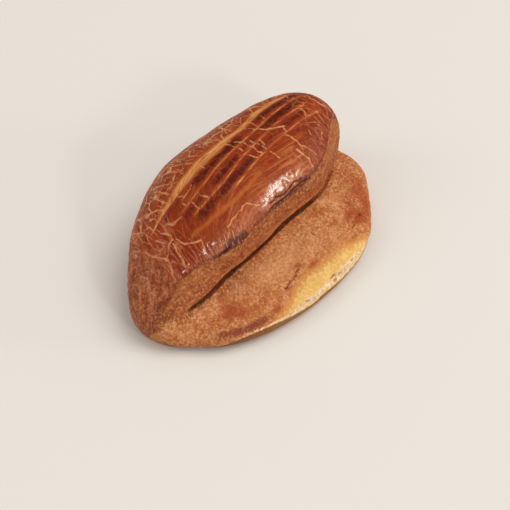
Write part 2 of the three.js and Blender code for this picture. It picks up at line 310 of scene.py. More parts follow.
# Folds in the thick glaze along the roll's front edge, painted near black as their shade, and where it
# shines most, which gets a heavier clear coat and painted highlight colour.
FURROWS = [
    [
        (5.2, 0.839), (7.5, 0.843), (9.2, 0.837), (10.8, 0.847), (13.2, 0.853), (15.2, 0.851),
        (17.5, 0.841), (19.5, 0.835), (20.8, 0.839),
    ],
    [(4.2, 0.86), (7, 0.859), (10, 0.867), (14, 0.869), (19, 0.86), (22.5, 0.857), (26.2, 0.866)],
    [(-25, 0.846), (-19, 0.849)],
]
FURROW_DEPTH = 0.5
FURROW_WIDTH = 0.5
SHINE_WIDTH = 2.6
SHINE = [
    [(-39.5, 0.75), (-36.5, 0.75)],
    [(-29, 0.785), (-25.5, 0.795)],
    [(-21, 0.81), (-14, 0.825)],
    [(4, 0.825), (21, 0.815)],
    [(9, 0.806), (17, 0.8)],
]

# The buttery patch on the flap and the torn rim under it: x, share of the way down the flap.
PATCH_TOP = [
    (-27, 0.78), (-22, 0.72), (-18, 0.67), (-13, 0.62), (-9, 0.575), (-4, 0.56), (2, 0.575), (8, 0.585),
    (15, 0.605), (20, 0.65), (25, 0.71), (30, 0.78), (36, 0.88),
]
RIM_TOP = [
    (-42, 0.715), (-36, 0.715), (-30, 0.735), (-22, 0.755), (-18, 0.745), (-12, 0.735), (-5, 0.74),
    (0, 0.745), (4, 0.73), (10, 0.73), (15, 0.74), (20, 0.77), (26, 0.8), (34, 0.83),
]
RIM_LOW = [
    (-42, 0.72), (-36, 0.735), (-30, 0.752), (-22, 0.785), (-15, 0.81), (-10, 0.835), (-6, 0.842),
    (-4.5, 0.818), (0, 0.832), (5, 0.85), (12, 0.86), (22, 0.85), (28, 0.82), (34, 0.82),
]
# Holes in the torn crumb and pits in the crust: x, share down the flap, then the reach along and
# down in millimetres.
CRUMB_HOLES = [
    (4, 0.742, 2.2, 0.5), (4.2, 0.8, 1.1, 0.9), (7.8, 0.79, 1.3, 0.6), (-11, 0.762, 0.9, 0.5),
    (16, 0.775, 1, 0.4),
]
PITS = [
    (35, 0.575, 1.0, 0.9), (29.8, 0.54, 0.5, 0.6), (28, 0.577, 1.5, 0.35), (40, 0.08, 0.6, 0.6),
    (25.6, 0.07, 0.5, 0.6), (14, 0.3, 0.4, 1.7), (33, 0.55, 0.5, 0.4),
]

# Colour spots on the flap: x, share down the flap, reach along and down in millimetres, strength.
RED_SPOTS = [
    (-34, 0.33, 3.2, 4, 0.8), (-31, 0.12, 2.5, 3, 0.6), (-20, 0.22, 1.8, 2, 0.5), (-20, 0.46, 5, 3, 0.4),
    (-27, 0.52, 5, 2.5, 0.4), (-33, 0.46, 4, 3, 0.5), (-1.8, 0.42, 2.2, 1.6, 1.1), (2.5, 0.52, 3, 1.8, 0.8),
    (24, 0.38, 3.2, 1.5, 0.8), (32, 0.47, 5, 2.2, 0.9), (36, 0.4, 1.5, 1.5, 0.5), (33, 0.58, 3.5, 1.4, 1.0),
    (22.5, 0.645, 3, 1.2, 0.8), (20.5, 0.13, 2, 2.5, 0.5), (47, 0.48, 7, 5, 0.7), (39, 0.64, 8, 3, 0.8),
    (-40, 0.38, 5, 4, 0.5), (38, 0.35, 4, 3, 0.4),
    (-23, 0.65, 4, 1.4, 0.8), (-13, 0.54, 3, 1, 0.5),
]
STAINS = [
    (-43, 0.57, 2.4, 1.6, 0.9), (-39, 0.62, 3, 1.5, 0.9), (-31, 0.665, 4.5, 1.5, 1.2),
    (-36, 0.66, 3, 1.2, 0.6),
]
PALE_SPOTS = [
    (-6, 0.27, 15, 7, 0.6),
    (28.5, 0.11, 2.2, 1.8, 0.9), (-38, 0.15, 4, 4, 0.4), (8, 0.2, 5, 3, 0.3), (33, 0.24, 4, 3, 0.35),
    (14, 0.46, 6, 3, 0.35), (22, 0.57, 4, 1.5, 0.5),
]

# Seeded bumps of the crust: height and grain in millimetres, seed, and how far they are drawn out
# along X, Y and Z, if they are.
BUMPS = {
    "streaks": (0.14, 1.5, 3, 8, 1, 1),
    "small_puckers": (0.16, 1.3, 5, 1, 1.8, 1.8),
    "large_puckers": (0.24, 2.8, 6, 1.2, 1, 1),
    "shine_puckers": (0.16, 0.8, 14, 1, 2, 2),
    "fine_grain": (0.14, 1.3, 7),
    "middle_grain": (0.12, 2.9, 8),
    "coarse_grain": (0.2, 7, 9),
    "fine_crumb": (0.5, 1.5, 12),
    "coarse_crumb": (0.5, 3.6, 13),
    "stray_along": (CRACK_STRAY, CRACK_STRAY_SIZE, 21),
    "stray_over": (CRACK_STRAY, CRACK_STRAY_SIZE, 22),
}
SEED_SPACING = 17.3
# Depths and half widths of the glaze's cracks, and depths of the crust's small hollows.
BOLD_CRACK = (0.2, 0.5)
HAIR_CRACK = (0.12, 0.4)
PIT_DEPTH = 0.35
CRUMB_DEPTH = 0.5
CRUMB_HOLE_DEPTH = 0.9
# The puckered nose: how far inside the glaze's front its middle lies, and its half width.
NOSE_INSIDE = 3
NOSE_WIDTH = 3.5

# How crazed the glaze is, 0 to 1, by share over the roll and by x: behind the scores, in front of
# them, at both ends and at the least.
CRAZED_BACK = {"least": 0.35, "rise": (0.22, 0.36), "fall": (0.47, 0.52)}
CRAZED_FRONT = {"rise": (0.7, 0.74), "left": 0.12, "right": 0.3, "turn": (12, 26)}
CRAZED_LEFT = {"most": 0.5, "rise": (-22, -31)}
CRAZED_RIGHT = {"most": 0.6, "rise": (36, 45)}
CRAZED_LEAST = 0.1

# What a mark says where it has no meaning, in millimetres: a place far away from it.
FAR_LINE = 50
FAR_WIDE_SCORE = 9
FAR_ACROSS = 20
FAR_OUTSIDE = -20
FAR_CREASE = 60
# The way round starts at these lengths on the flap and the base, so that stretches don't share it.
FLAP_OFFSET = 100
BASE_OFFSET = 200
# Where, along the base, its marks change over from the front's to the back's.
BASE_TURN = (0.3, 0.7)
# Traced vertices this close to the base, in millimetres, are set flat on it.
BASE_SNAP = 0.004


def mix(a, b, t):
    return a + (b - a) * t


def bell(distance, width):
    return np.exp(-((distance / width) ** 2))


def smooth(value, start, end):
    t = np.clip((value - start) / (end - start), 0, 1)
    return t * t * (3 - 2 * t)


def between(value, start, end, fade):
    """1 between two limits, fading to 0 towards both."""
    return smooth(value, start, start + fade) * (1 - smooth(value, end - fade, end))


def smooth_min(a, b, blend):
    h = np.clip(0.5 + 0.5 * (b - a) / blend, 0, 1)
    return mix(b, a, h) - blend * h * (1 - h)


def roll_value(x, y, z):
    """Distance-like value of the roll: negative inside."""
    left = x < ROLL["widest_x"]
    reach = np.where(left, ROLL["left_x"], ROLL["right_x"]) - ROLL["widest_x"]
    s = (x - ROLL["widest_x"]) / reach
    bend = np.minimum(s, ROLL["bend_limit"]) ** 2
    taper = np.where(left, ROLL["left_taper"], ROLL["right_taper"])
    axis_y = mix(ROLL["axis_y"], np.where(left, ROLL["left_axis_y"], ROLL["right_axis_y"]), bend)
    axis_z = mix(ROLL["axis_z"], np.where(left, ROLL["left_axis_z"], ROLL["right_axis_z"]), bend)
    left_gain = np.where(z < axis_z, ROLL["left_belly_gain"], ROLL["left_height_gain"])
    half_height = ROLL["half_height"] * (1 + np.where(left, left_gain, ROLL["right_height_gain"]) * bend)
    power = ROLL["section_power"]
    across = np.abs((y - axis_y) / ROLL["half_width"]) ** power
    upward = np.abs((z - axis_z) / half_height) ** power
    section = (across + upward) ** (1 / power)
    return ((section**taper + s**taper) ** (1 / taper) - 1) * ROLL["steepness"]


def flap_value(x, y, z):
    """Distance-like value of the flap: negative inside."""
    reach = np.where(x < FLAP["widest_x"], FLAP["left_x"], FLAP["right_x"]) - FLAP["widest_x"]
    along = ((x - FLAP["widest_x"]) / reach) ** FLAP["plan_power"]
    across = np.abs((y - FLAP["axis_y"]) / FLAP["half_width"]) ** FLAP["plan_power"]
    plan = (along + across) ** (1 / FLAP["plan_power"])
    rise = (z - FLAP["axis_z"]) * np.where(z < FLAP["axis_z"], FLAP["undercut"], 1)
    upward = np.abs(rise / FLAP["half_height"]) ** FLAP["edge_power"]
    return ((plan ** FLAP["edge_power"] + upward) ** (1 / FLAP["edge_power"]) - 1) * FLAP["steepness"]


def bun_value(x, y, z):
    """The whole bun: both halves joined, swollen and cut flat underneath."""
    sealing = np.clip((SEAL_START_X - x) / SEAL_LENGTH, 0, 1) ** SEAL_POWER
    halves = smooth_min(roll_value(x, y, z), flap_value(x, y, z), CREASE_BLEND + SEAL_BLEND * sealing)
    tip_z = TIP_AT[2] + (z - TIP_AT[2]) * np.where(z < TIP_AT[2], TIP_UNDERCUT, 1)
    tip = sum(((p - at) / half) ** 2 for p, at, half in zip((x, y, tip_z), TIP_AT, TIP_HALF_SIZE))
    value = smooth_min(halves, (np.sqrt(tip) - 1) * TIP_HALF_SIZE[2], TIP_BLEND)
    for (at_x, at_y, at_z), reach, height in SWELLINGS:
        away = (x - at_x) ** 2 + (y - at_y) ** 2 + (z - at_z) ** 2
        value = value - height * np.exp(-away / reach**2)
    return -smooth_min(-value, z, BASE_EDGE_BLEND)


def surface_points(tilt, turn):
    """Where rays from the spine leave the bun; tilt runs along the length, turn goes around."""
    lean = np.sin(tilt)
    start = np.stack([SPINE * lean, SPINE_Y + SPINE_END_RISE * lean**2, SPINE_Z + 0 * lean])
    ray = np.stack([lean, np.cos(tilt) * np.cos(turn), np.cos(tilt) * np.sin(turn)])
    near = np.zeros(tilt.shape)
    far = np.full(tilt.shape, float(REACH))
    for _ in range(HALVINGS):
        middle = (near + far) / 2
        inside = bun_value(*(start + ray * middle)) < 0
        near = np.where(inside, middle, near)
        far = np.where(inside, far, middle)
    return np.moveaxis(start + ray * near, 0, -1)


def ring_tilts():
    """Tilts that crowd a little less towards the tips than even ones do."""
    even = np.linspace(-1, 1, RINGS)
    return mix(np.arcsin(even * math.sin(END_TILT)), even * END_TILT, TILT_EVENNESS)


def crossing(values, start, step):
    """The fractional place where values first pass below 0, walking from start."""
    i = start
    while values[i + step] > 0:
        i += step
    return i + step * values[i] / (values[i] - values[i + step])


def landmarks(tilt, ring):
    """Trace positions of the back edge, the crease (or None) and the front edge of a ring."""
    heights = ring[:, 2]
    low, high = heights.min(), heights.max()
    top = int(heights.argmax())
    rise = EDGE_RISE + EDGE_TIP_RISE * abs(math.sin(tilt)) ** EDGE_TIP_POWER
    above = heights - mix(low, high, rise)
    back = crossing(above, top, -1)
    front = crossing(above, top, 1)
    gaps = roll_value(*ring.T) - flap_value(*ring.T)
    turned = [i for i in range(top, int(front)) if gaps[i] < 0 <= gaps[i + 1]]
    if not turned:
        return back, None, front
    last = turned[-1]
    return back, last + gaps[last] / (gaps[last] - gaps[last + 1]), front


def fill_creases(marks):
    """Rings near the tips that miss the crease take its place from the nearest ring that has it."""
    known = [mark[1] for mark in marks if mark[1] is not None]
    filled = []
    for i, (back, crease, front) in enumerate(marks):
        if crease is None:
            crease = known[0] if i < len(marks) / 2 else known[-1]
        crease = min(max(crease, back + CREASE_CLEARANCE), front - CREASE_CLEARANCE)
        filled.append((back, crease, front))
    return filled


def stretch(ring, start, end):
    """The path between two trace positions and its running length."""
    places = np.concatenate([[start], np.arange(math.floor(start) + 1, math.ceil(end)), [end]])
    steps = np.arange(len(ring))
    path = np.stack([np.interp(places, steps, ring[:, k]) for k in range(3)], axis=1)
    lengths = np.concatenate([[0], np.cumsum(np.linalg.norm(np.diff(path, axis=0), axis=1))])
    return path, lengths


def along_stretch(path, lengths, shares):
    """Points at shares of a path's length."""
    goals = np.asarray(shares) * lengths[-1]
    return np.stack([np.interp(goals, lengths, path[:, k]) for k in range(3)], axis=-1)


def at_bends(x, bends):
    """The value at x of a line that is given by its (x, value) bends; it is level beyond its ends."""
    return np.interp(x, *zip(*bends))


def spread(stops, spans, lean):
    """Even shares between given stops; lean above 1 crowds a stretch towards its end."""
    shares = []
    for k, count in enumerate(spans):
        t = np.arange(count) / count
        shares.append(mix(stops[k], stops[k + 1], 1 - (1 - t) ** lean[k]))
    return np.concatenate(shares)


def place_ring(ring, back, crease, front):
    """One ring's vertices over the roll, down the flap and back under the base."""
    roll = stretch(ring, back, crease)
    flap = stretch(ring, crease, front)
    turned = np.concatenate([ring[:-1], ring])
    base = stretch(turned, front, back + len(ring) - 1)
    x = along_stretch(*roll, X_READ_AT)[0]
    roll_stops = [0, *(at_bends(x, score["path"]) for score in SCORES), 1]
    roll_shares = spread(roll_stops, [BACK_SPANS, *SCORE_SPANS, NOSE_SPANS], ROLL_LEANS)
    lip = 1 + LIP_TUCK / flap[1][-1]
    crack_stop = min(at_bends(x, FLAP_CRACK) * lip, CRACK_LIMIT)
    flap_stops = [0, crack_stop, min(RIM_START * lip, RIM_LIMIT), 1]
    flap_shares = spread(flap_stops, FLAP_SPANS, FLAP_LEANS)
    base_shares = spread([0, 1], [BASE_SPANS], [1])
    parts = [(roll, roll_shares), (flap, flap_shares), (base, base_shares)]
    return (
        np.concatenate([along_stretch(*line, shares) for line, shares in parts]),
        np.concatenate([shares for _, shares in parts]),
        np.concatenate([np.full(len(shares), line[1][-1]) for line, shares in parts]),
    )


def trace_bun():
    """The smooth bun as a grid of rings by columns: places, shares and stretch lengths."""
    tilts = ring_tilts()
    turns = np.linspace(-math.pi / 2, 1.5 * math.pi, TRACE_STEPS + 1)
    traced = surface_points(*np.meshgrid(tilts, turns, indexing="ij"))
    marks = fill_creases([landmarks(tilt, ring) for tilt, ring in zip(tilts, traced)])
    rings = [place_ring(ring, *mark) for ring, mark in zip(traced, marks)]
    tips = surface_points(np.array([-math.pi / 2, math.pi / 2]), np.zeros(2))
    return (*(np.stack(grid) for grid in zip(*rings)), tips)


places, shares, lengths, tips = trace_bun()
ROLL_COLUMNS = BACK_SPANS + sum(SCORE_SPANS) + NOSE_SPANS
FLAP_COLUMNS = sum(FLAP_SPANS)
COLUMNS = places.shape[1]
column = np.arange(COLUMNS)
on_roll = np.broadcast_to(column < ROLL_COLUMNS, shares.shape)
on_base = np.broadcast_to(column >= ROLL_COLUMNS + FLAP_COLUMNS, shares.shape)
on_flap = ~on_roll & ~on_base


def grid_normals(grid, ends):
    """Outward directions on a grid of rings, from the neighbours along and around."""
    first = np.broadcast_to(ends[0], grid[:1].shape)
    last = np.broadcast_to(ends[1], grid[:1].shape)
    long_way = np.concatenate([first, grid, last])
    along = long_way[2:] - long_way[:-2]
    around = np.roll(grid, -1, axis=1) - np.roll(grid, 1, axis=1)
    outward = np.cross(around, along)
    return outward / np.linalg.norm(outward, axis=-1, keepdims=True)


def broad_waves(x, y, z):
    """Broad seeded waves that keep the crust from being perfectly even."""
    random = np.random.default_rng(UNEVEN["seed"])
    total = np.zeros(x.shape)
    for _ in range(UNEVEN["waves"]):
        length = mix(UNEVEN["shortest"], UNEVEN["longest"], random.random())
        heading = random.random() * math.pi
        run = x * math.cos(heading) + y * math.sin(heading) + z * (random.random() * 2 - 1)
        total += np.sin(2 * math.pi * (run / length + random.random()))
    return total * UNEVEN["height"]


x, y, z = np.moveaxis(places, -1, 0)
distance_over = shares * lengths


def roll_only(values, elsewhere=0):
    return np.where(on_roll, values, elsewhere)


def flap_only(values, elsewhere=0):
    return np.where(on_flap, values, elsewhere)


def bumps(name):
    """Smooth seeded noise over the crust's places, about as high and low as its height says."""
    height, size, seed, *stretch = BUMPS[name]
    scaled = places / (size * np.array(stretch or (1, 1, 1))) + seed * SEED_SPACING
    values = [noise.noise(point) for point in scaled.reshape(-1, 3)]
    return height * np.array(values).reshape(x.shape)


STRAY_ALONG = bumps("stray_along")
STRAY_OVER = bumps("stray_over")


def distance_to_lines(lines, strays=True):
    """Millimetres over the crust from each place on the roll to the nearest of some bent lines."""
    here_x = x + STRAY_ALONG * strays
    nearest = np.full(x.shape, float(FAR_LINE))
    for line in lines:
        for (start_x, start_share), (end_x, end_share) in zip(line, line[1:]):
            run_x, run_over = end_x - start_x, (end_share - start_share) * lengths
            off_x, off_over = here_x - start_x, (shares - start_share) * lengths + STRAY_OVER * strays
            t = np.clip((off_x * run_x + off_over * run_over) / (run_x**2 + run_over**2), 0, 1)
            nearest = np.minimum(nearest, np.hypot(off_x - t * run_x, off_over - t * run_over))
    return roll_only(nearest, FAR_LINE)


def across_score(score):
    """Signed millimetres across a scored line, and how fully it runs there."""
    return (shares - at_bends(x, score["path"])) * lengths, roll_only(between(x, *score["run"]))


def soft_streaks(streaks, fade=0.0):
    """How strongly some soft streaks darken each place on the roll; they fade out along their length."""
    total = np.zeros(x.shape)
    for line, width, strength in streaks:
        run = between(x, line[0][0] - fade / 2, line[-1][0] + fade / 2, fade) if fade else 1
        total = np.maximum(total, strength * run * bell(distance_to_lines([line]), width))
    return total


def down_from(share):
    """Millimetres down the flap from a share of the way to just under its lip."""
    return distance_over - share * (lengths + LIP_TUCK)


def below(bends):
    """Millimetres down the flap from a bent line across it."""
    return down_from(at_bends(x, bends))


def spots(places_and_reaches):
    """How strongly some soft spots on the flap colour each place."""
    total = np.zeros(x.shape)
    for at_x, share, reach_x, reach_down, strength in places_and_reaches:
        total += strength * bell(np.hypot((x - at_x) / reach_x, down_from(share) / reach_down), 1)
    return flap_only(total)


def hollows(places_and_reaches):
    """1 at the middle of small hollows in the flap, 0 outside them."""
    return spots([(*hollow, 1) for hollow in places_and_reaches])


def crazing():
    """How much the glaze is crazed: most at the back and both ends, least between the scores."""
    back = mix(CRAZED_BACK["least"], 1, smooth(shares, *CRAZED_BACK["rise"]))
    back = back * (1 - smooth(shares, *CRAZED_BACK["fall"]))
    front = mix(CRAZED_FRONT["left"], CRAZED_FRONT["right"], smooth(x, *CRAZED_FRONT["turn"]))
    front = smooth(shares, *CRAZED_FRONT["rise"]) * front
    left, right = (end["most"] * smooth(x, *end["rise"]) for end in (CRAZED_LEFT, CRAZED_RIGHT))
    least = np.full(x.shape, CRAZED_LEAST)
    return roll_only(np.maximum.reduce([back, front, left, right, least]))


def crust_marks():
    """What lies where on the crust, by name: mostly signed millimetres to a mark's edge or middle."""
    to_back = 1 - smooth(shares, *BASE_TURN)
    past_roll = flap_only(FLAP_OFFSET, BASE_OFFSET) + distance_over
    glaze = np.minimum(at_bends(x, GLAZE_FRONT) - shares, shares - GLAZE_BACK) * lengths
    wide, wide_run = across_score(SCORES[0])
    wide = np.abs(wide) / at_bends(x, WIDE_SCORE_WIDTH) + 2 * (1 - wide_run)
    fine = [np.abs(across) + 1.5 * (1 - run) for across, run in map(across_score, SCORES[1:])]
    flap_crack = np.abs(below(FLAP_CRACK)) + 3 * (1 - between(x, *FLAP_CRACK_RUN))
    return {
        "over_roll": roll_only(shares, flap_only(1, to_back)),
        "down_flap": flap_only(distance_over / (lengths + LIP_TUCK), roll_only(0, to_back)),
        "way_round": roll_only(distance_over, past_roll),
        "underneath": on_base.astype(float),
        "glaze": roll_only(glaze, FAR_OUTSIDE),
        "wide_score": roll_only(wide, FAR_WIDE_SCORE),
        "fine_scores": roll_only(np.minimum.reduce(fine), FAR_ACROSS),
        "bold_cracks": distance_to_lines(BOLD_CRACKS),
        "hair_cracks": distance_to_lines(HAIR_CRACKS),
        "soft_line": distance_to_lines([SOFT_LINE]),
        "furrows": distance_to_lines(FURROWS, strays=False),
        "dark_streaks": soft_streaks(DARK_STREAKS, STREAK_FADE),
        "run_together": soft_streaks(RUN_TOGETHER),
        "crazing": crazing(),
        "shine": bell(distance_to_lines(SHINE), SHINE_WIDTH),
        "from_crease": roll_only(-lengths * (1 - shares), flap_only(lengths * shares, FAR_CREASE)),
        "flap_crack": flap_only(flap_crack, FAR_ACROSS),
        "patch": flap_only(below(PATCH_TOP), FAR_OUTSIDE),
        "rim": flap_only(np.minimum(below(RIM_TOP), -below(RIM_LOW)), FAR_OUTSIDE),
        "below_rim": flap_only(below(RIM_LOW), FAR_OUTSIDE),
        "crumb_holes": hollows(CRUMB_HOLES),
        "pits": hollows(PITS),
        "red_spots": spots(RED_SPOTS),
        "stains": spots(STAINS),
        "pale_spots": spots(PALE_SPOTS),
    }


marks = crust_marks()


def groove(mark, depth, width):
    """Depth of a rounded groove along a line's mark."""
    return depth * bell(marks[mark], width)


def relief():
    """How far each place on the crust stands out of (or into) the smooth bun, in millimetres."""
    slit = between(x, *SLIT["run"]) * groove("from_crease", SLIT["depth"], SLIT["width"])
    scoring = 0
    for score in SCORES:
        across, run = across_score(score)
        scoring = scoring + score["depth"] * run * bell(across, score["width"])
    glazed = smooth(marks["glaze"], -1, 2)
    cracks = groove("bold_cracks", *BOLD_CRACK) + groove("hair_cracks", *HAIR_CRACK)
    nose = roll_only(bell(marks["glaze"] - NOSE_INSIDE, NOSE_WIDTH))
    puckers = nose * (bumps("small_puckers") + bumps("large_puckers"))
    puckers += marks["shine"] * bumps("shine_puckers")
    folds = groove("furrows", FURROW_DEPTH, FURROW_WIDTH)
    grain = bumps("fine_grain") + bumps("middle_grain") + bumps("coarse_grain")
    crack = groove("flap_crack", FLAP_CRACK_DEPTH, FLAP_CRACK_WIDTH) + PIT_DEPTH * marks["pits"]
    torn = smooth(marks["rim"], -0.3, 0.5) * smooth(x, -26, -16)
    crumb = torn * (CRUMB_DEPTH + bumps("fine_crumb") + bumps("coarse_crumb"))
    crumb += CRUMB_HOLE_DEPTH * marks["crumb_holes"]
    height = broad_waves(x, y, z) - slit - scoring - crack - crumb - folds + puckers
    height += glazed * (bumps("streaks") - cracks) + (1 - glazed) * grain
    return np.where(on_base, 0, height * smooth(z, RELIEF_FLOOR, RELIEF_FULL))


def settled(grid, ends):
    """The bun's vertices in metres, set down in the middle of the solid's box and kept inside it."""
    points = np.concatenate([grid.reshape(-1, 3), ends])
    points[points[:, 2] < BASE_SNAP, 2] = 0
    low, high = points.min(axis=0), points.max(axis=0)
    box_low, box_high = np.array(CAD_LOW), np.array(CAD_HIGH)
    fit = np.minimum(1, (box_high - box_low) / ((high - low) * MM))
    middle = np.array([(low[0] + high[0]) / 2, (low[1] + high[1]) / 2, 0])
    floor_middle = np.array([(box_low[0] + box_high[0]) / 2, (box_low[1] + box_high[1]) / 2, box_low[2]])
    return (points - middle) * MM * fit + floor_middle


def bun_mesh():
    """The bun as one closed mesh, with its marks as attributes of the vertices."""
    displaced = places + grid_normals(places, tips) * relief()[..., None]
    points = settled(displaced, tips)
    ids = np.arange(RINGS * COLUMNS).reshape(RINGS, COLUMNS)
    turned = np.roll(ids, -1, axis=1)
    quads = np.stack([ids[:-1], turned[:-1], turned[1:], ids[1:]], axis=-1).reshape(-1, 4)
    left_cap = np.stack([np.full(COLUMNS, len(points) - 2), turned[0], ids[0]], axis=-1)
    right_cap = np.stack([np.full(COLUMNS, len(points) - 1), ids[-1], turned[-1]], axis=-1)
    mesh = bpy.data.meshes.new("bun_crust")
    mesh.from_pydata(points.tolist(), [], quads.tolist() + left_cap.tolist() + right_cap.tolist())
    mesh.polygons.foreach_set("use_smooth", np.ones(len(mesh.polygons), bool))
    for name, values in marks.items():
        at_tips = [values[0].mean(), values[-1].mean()]
        layer = mesh.attributes.new(name, "FLOAT", "POINT")
        layer.data.foreach_set("value", np.concatenate([values.ravel(), at_tips]).astype(np.float32))
    return mesh


class Link:
    """An output socket of a material's nodes; sums, products and the like add Math nodes."""

    def __init__(self, tree, socket=None):
        self.tree = tree
        self.socket = socket

    def node(self, kind, settings=None, sockets=None, output=0):
        """A node of that kind: its settings are set first, then its sockets' values or links."""
        made = self.tree.nodes.new("ShaderNode" + kind)
        for name, value in (settings or {}).items():
            if name == "stops":
                set_stops(made.color_ramp, value)
            else:
                setattr(made, name, value)
        for name, value in (sockets or {}).items():
            if isinstance(value, Link):
                self.tree.links.new(value.socket, made.inputs[name])
            else:
                made.inputs[name].default_value = value
        return Link(self.tree, made.outputs[output])

    def maths(self, operation, *values):
        return self.node("Math", {"operation": operation}, dict(enumerate(values)))

    def __add__(self, other):
        return self.maths("ADD", self, other)

    def __sub__(self, other):
        return self.maths("SUBTRACT", self, other)

    def __rsub__(self, other):
        return self.maths("SUBTRACT", other, self)

    def __mul__(self, other):
        return self.maths("MULTIPLY", self, other)

    def __truediv__(self, other):
        return self.maths("DIVIDE", self, other)

    __radd__ = __add__
    __rmul__ = __mul__

    def at_least(self, other):
        return self.maths("MAXIMUM", self, other)

    def at_most(self, other):
        return self.maths("MINIMUM", self, other)

    def step(self, start, end):
        """0 before start, 1 past end, with a soft step between them; start may be the larger."""
        sockets = {"Value": self, "From Min": start, "From Max": end}
        return self.node("MapRange", {"interpolation_type": "SMOOTHSTEP"}, sockets)

    def ramp(self, stops):
        """A colour by value, from (value, colour) stops in 0-255 display steps."""
        return self.node("ValToRGB", {"stops": stops}, {"Fac": self})


def set_stops(ramp, stops):
    """Puts a colour ramp's stops at the given places with the given colours."""
    for place, _ in stops[2:]:
        ramp.elements.new(place)
    for element, (place, colour) in zip(ramp.elements, stops):
        element.position = place
        element.color = paint(*colour)


def paint(red, green, blue):
    """A colour given in 0-255 display steps, as linear light."""
    def linear(step):
        share = step / 255
        return share / 12.92 if share <= 0.04045 else ((share + 0.055) / 1.055) ** 2.4

    return (linear(red), linear(green), linear(blue), 1)


class Crust(Link):
    """The bun's node tree, with the marks that its mesh carries and textures sized in millimetres."""

    def mark(self, name):
        return self.node("Attribute", {"attribute_name": name}, output="Fac")

    def colour_mix(self, amount, first, second):
        return self.node("Mix", {"data_type": "RGBA"}, {0: amount, 6: first, 7: second}, output=2)

    def painted(self, base, layers):
        """A colour under layers that are given as amounts and colours in 0-255 display steps."""
        for amount, colour in layers:
            base = self.colour_mix(amount, base, paint(*colour))
        return base

    def combine(self, x, y, z):
        return self.node("CombineXYZ", None, {"X": x, "Y": y, "Z": z})

    def place(self, size=1.0):
        """The place on the bun, in steps of a size in millimetres."""
        here = self.node("TexCoord", output="Object")
        return self.node("VectorMath", {"operation": "SCALE"}, {0: here, "Scale": 1 / (MM * size)})

    def axis(self, name):
        """How far a place lies along X, Y or Z, in millimetres."""
        return self.node("SeparateXYZ", None, {0: self.place()}, output=name)

    def unrolled(self, long_step, round_step):
        """The place over the crust laid flat, in steps along the length and around."""
        return self.combine(self.axis("X") / long_step, self.mark("way_round") / round_step, 0.0)

    def mottle(self, where, detail=3.0, distortion=0.0):
        """Noise from 0 to 1, mostly near the middle."""
        sockets = {"Vector": where, "Scale": 1.0, "Detail": detail, "Distortion": distortion}
        sockets["Roughness"] = 0.6
        return self.node("TexNoise", None, sockets, output="Fac")

    def grain(self, size, **shape):
        return self.mottle(self.place(size), **shape)

    def drawn_out(self, long_step, round_step, **shape):
        return self.mottle(self.unrolled(long_step, round_step), **shape)

    def comb(self):
        """Fine ripples that run over the roll's front edge."""
        return self.drawn_out(0.9, 2.6, distortion=0.8)

    def craze(self, where):
        """Share of a cell's size from the nearest edge of a net of jagged cells."""
        push = self.node("TexNoise", None, {"Vector": where, "Scale": 1.6, "Detail": 2.0}, output="Color")
        sockets = {0: push, 1: (0.5, 0.5, 0.5), 2: where}
        strayed = self.node("VectorMath", {"operation": "MULTIPLY_ADD"}, sockets)
        sockets = {"Vector": strayed, "Scale": 1.0, "Randomness": 1.0}
        return self.node("TexVoronoi", {"feature": "DISTANCE_TO_EDGE"}, sockets, output="Distance")


def glaze_cracks(crust):
    """The pale net of cracks in the glaze, 0 to 1: those that are placed, and a finer crazing."""
    fine = crust.grain(1.1)
    patchy = crust.grain(5, detail=1)
    faint = crust.grain(2.5).step(0.3, 0.55)
    bold = (crust.mark("bold_cracks") + 0.5 * (fine - 0.5)).step(0.52, 0.14)
    hair = (crust.mark("hair_cracks") + 0.3 * (fine - 0.5)).step(0.46, 0.14)
    net = crust.craze(crust.unrolled(5, 7)).step(0.06, 0.015) * patchy.step(0.38, 0.56)
    small = crust.craze(crust.unrolled(2.4, 3.6)).step(0.07, 0.01) * patchy.step(0.6, 0.44)
    nets = (0.85 * net).at_least(0.6 * small)
    far_end = crust.axis("X").step(44, 50)
    end_net = crust.craze(crust.place(5)).step(0.07, 0.02) * patchy.step(0.38, 0.56)
    crazed = crust.mark("crazing") * ((1 - far_end) * nets + 0.8 * far_end * end_net)
    placed = (0.8 * bold * (0.5 + 0.5 * faint)).at_least(0.7 * hair * (0.4 + 0.6 * faint))
    return placed.at_least(crazed)


